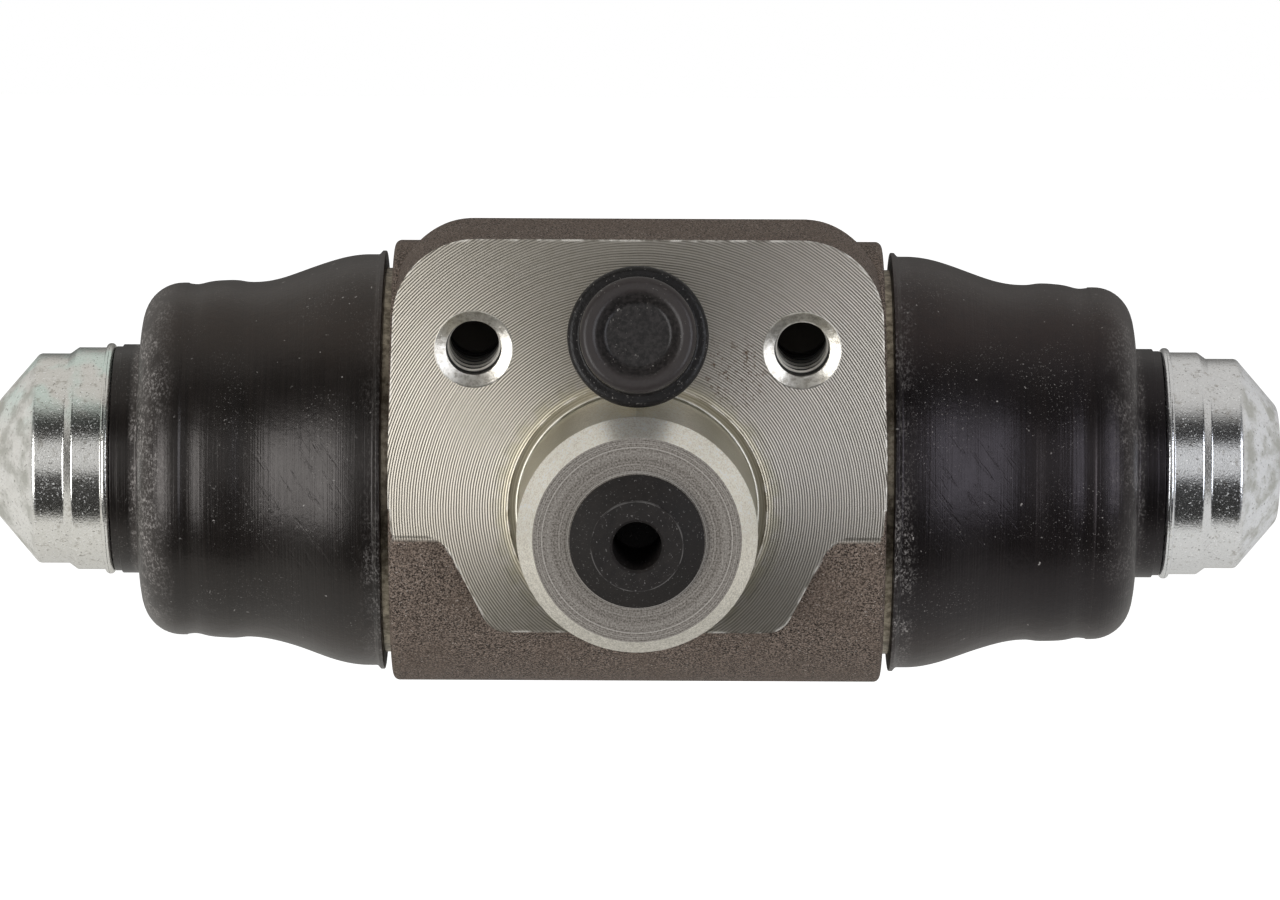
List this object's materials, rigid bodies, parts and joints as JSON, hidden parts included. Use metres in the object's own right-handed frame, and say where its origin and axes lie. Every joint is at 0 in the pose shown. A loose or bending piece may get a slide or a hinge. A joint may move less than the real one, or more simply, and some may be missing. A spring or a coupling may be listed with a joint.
{
  "type": "wheel cylinder",
  "caption": "Double-acting drum-brake wheel cylinder: cast body with a mounting flange and inlet boss, opposed pistons under rubber boots, and a capped bleed screw.",
  "frame": {"origin": "where the inlet port's axis meets the mounting face's plane", "axes": "+X along the bore, +Y from the mounting face into the part, +Z towards the bleed screw's edge of the flange"},
  "size_m": [0.1186, 0.0549, 0.0452],
  "materials": {
    "cast_iron": "as cast, milled on its mounting face and boss",
    "piston_alloy": "turned",
    "zinc_plate": "bright zinc plate",
    "boot_rubber": "satin",
    "cup_rubber": "smooth",
    "pressed_steel": "plated",
    "spring_steel": "drawn wire",
    "screw_steel": "zinc plate",
    "cap_rubber": "matt",
    "plug_plastic": "moulded"
  },
  "bodies": {
    "casting": {"cylinder_body": "cast_iron", "boot_left": "boot_rubber", "boot_right": "boot_rubber", "return_spring": "spring_steel"},
    "left_piston": {"piston_left": "piston_alloy", "thrust_cap_left": "zinc_plate", "cup_seal_left": "cup_rubber", "cup_expander_left": "pressed_steel"},
    "right_piston": {"piston_right": "piston_alloy", "thrust_cap_right": "zinc_plate", "cup_seal_right": "cup_rubber", "cup_expander_right": "pressed_steel"},
    "bleeder": {"bleed_screw": "screw_steel"},
    "bleeder_cap": {"bleed_cap": "cap_rubber"},
    "plug": {"port_plug": "plug_plastic"}
  },
  "joints": [
    {"name": "left_piston_slide", "type": "slide", "parent": "casting", "child": "left_piston", "axis": [-1, 0, 0], "range_m": [-0.005, 0.006], "deforming": ["boot_left", "return_spring"]},
    {"name": "right_piston_slide", "type": "slide", "parent": "casting", "child": "right_piston", "axis": [1, 0, 0], "range_m": [-0.005, 0.006], "deforming": ["boot_right", "return_spring"]},
    {"name": "bleed_screw_turn", "type": "hinge", "parent": "casting", "child": "bleeder", "pos_m": [0, 0, 0.01572], "axis": [0, -0.9724, 0.2334], "range_deg": [0, 270]},
    {"name": "bleed_cap_pull", "type": "slide", "parent": "bleeder", "child": "bleeder_cap", "axis": [0, -0.9724, 0.2334], "range_m": [0, 0.012]},
    {"name": "port_plug_pull", "type": "slide", "parent": "casting", "child": "plug", "axis": [0, -1, 0], "range_m": [0, 0.014]}
  ]
}
